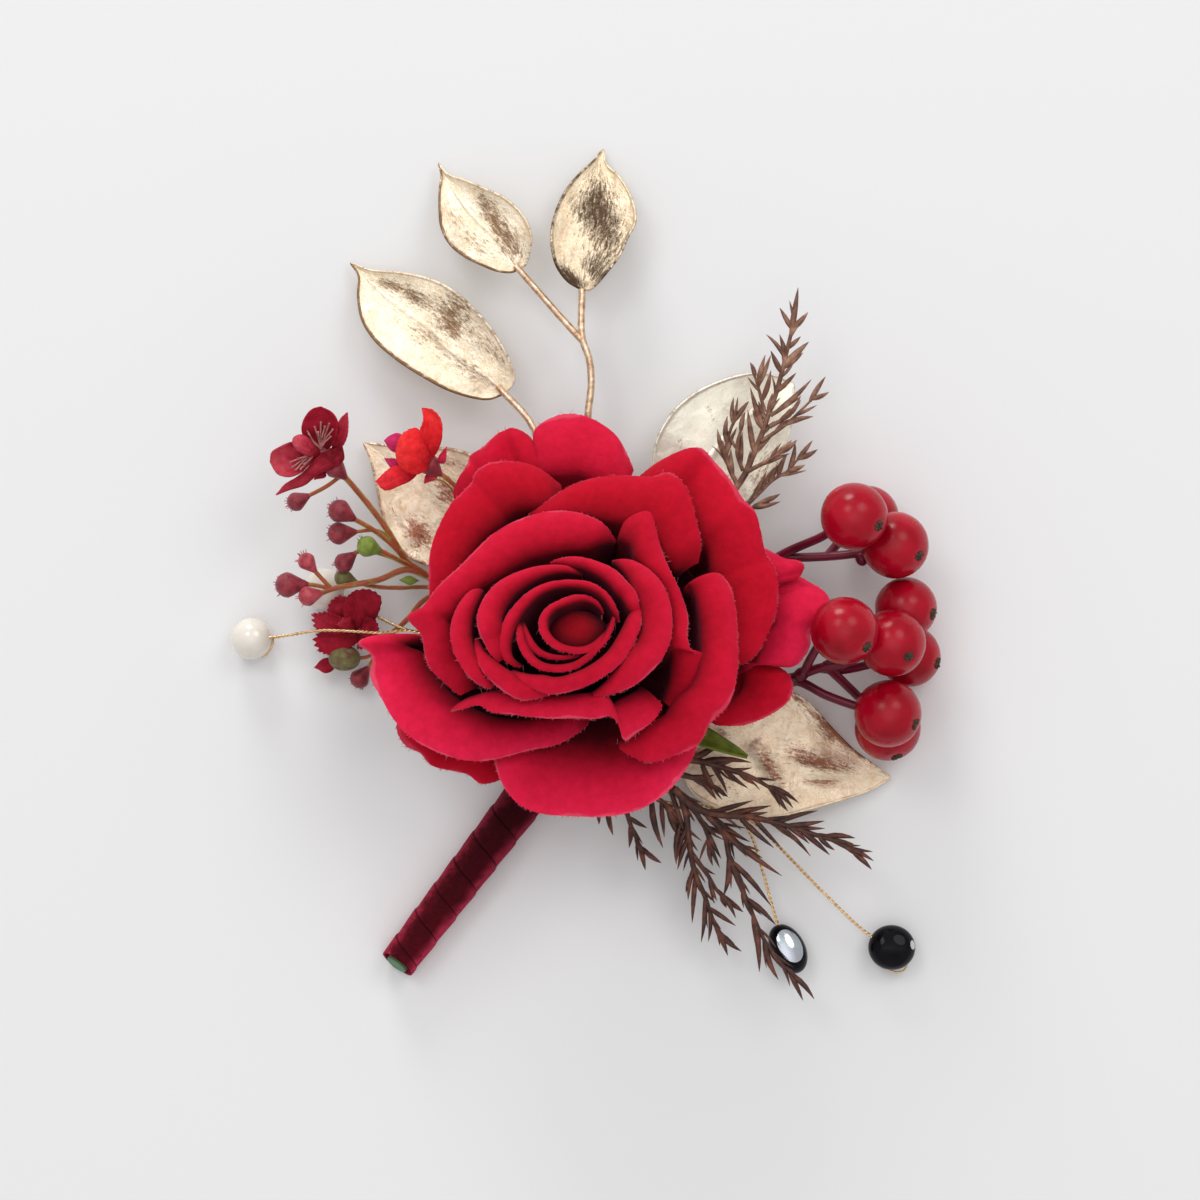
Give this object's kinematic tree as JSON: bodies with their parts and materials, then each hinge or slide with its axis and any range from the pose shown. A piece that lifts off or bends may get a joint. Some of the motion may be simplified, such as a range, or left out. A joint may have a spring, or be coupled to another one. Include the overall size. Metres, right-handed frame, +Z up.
{
  "type": "artificial boutonniere",
  "caption": "Artificial lapel flower: a red cloth rose with gold leaves, red berries, brown sprigs, small blossoms, pearls and black beads on a ribbon-wrapped stem.",
  "frame": {"origin": "middle of the flat spot under the binding knot, on the surface that the boutonniere lies on", "axes": "+Z up out of the surface, +Y towards the tips of the top gold leaves, +X towards the berries; the wrapped stem points down to the left"},
  "size_m": [0.1015, 0.1212, 0.0376],
  "materials": {
    "rose_fabric": "crimson silk-look woven cloth petals, soft sheen, paler frayed edges",
    "green_plastic": "moulded olive-green stem and calyx",
    "ribbon_velvet": "dark wine velvet ribbon, brighter at its selvedges",
    "binding_tape": "waxy green floral tape over glue",
    "gold_leaf": "crinkled champagne-gold foil finish, bronze in the hollows",
    "berry_gloss": "glossy lacquered deep red berries",
    "berry_stalk": "smooth burgundy stalks",
    "twig_brown": "matt dark brown needle sprigs, lighter at the edges",
    "spray_stem": "olive to red-brown moulded stems",
    "spray_bud": "soft dusty red buds",
    "blossom_fabric": "thin bright to deep red cloth florets",
    "pearl": "white imitation pearl with a satin lustre",
    "gold_wire": "fine twisted gold-coloured wire",
    "bead_black": "faceted black glass"
  },
  "bodies": {
    "root": {"rose_bloom": "rose_fabric", "rose_calyx": "green_plastic", "rose_stem": "green_plastic", "ribbon_wrap": "ribbon_velvet", "stem_binding": "binding_tape", "gold_spray_top": "gold_leaf", "gold_leaf_left": "gold_leaf", "gold_leaf_behind_flowers": "gold_leaf", "gold_leaf_upper_right": "gold_leaf", "gold_leaf_lower_right": "gold_leaf", "berry_cluster_upper": "berry_gloss", "berry_cluster_lower": "berry_gloss", "brown_sprig_upper": "twig_brown", "brown_sprigs_lower": "twig_brown", "filler_stems": "spray_stem", "filler_blossom_top": "blossom_fabric", "filler_blossom_side": "blossom_fabric", "filler_blossom_low": "blossom_fabric", "pearl_outer": "pearl", "pearl_inner": "pearl", "pearl_wire_outer": "gold_wire", "pearl_wire_inner": "gold_wire", "bead_left": "bead_black", "bead_right": "bead_black", "bead_wire_left": "gold_wire", "bead_wire_right": "gold_wire"}
  },
  "joints": []
}
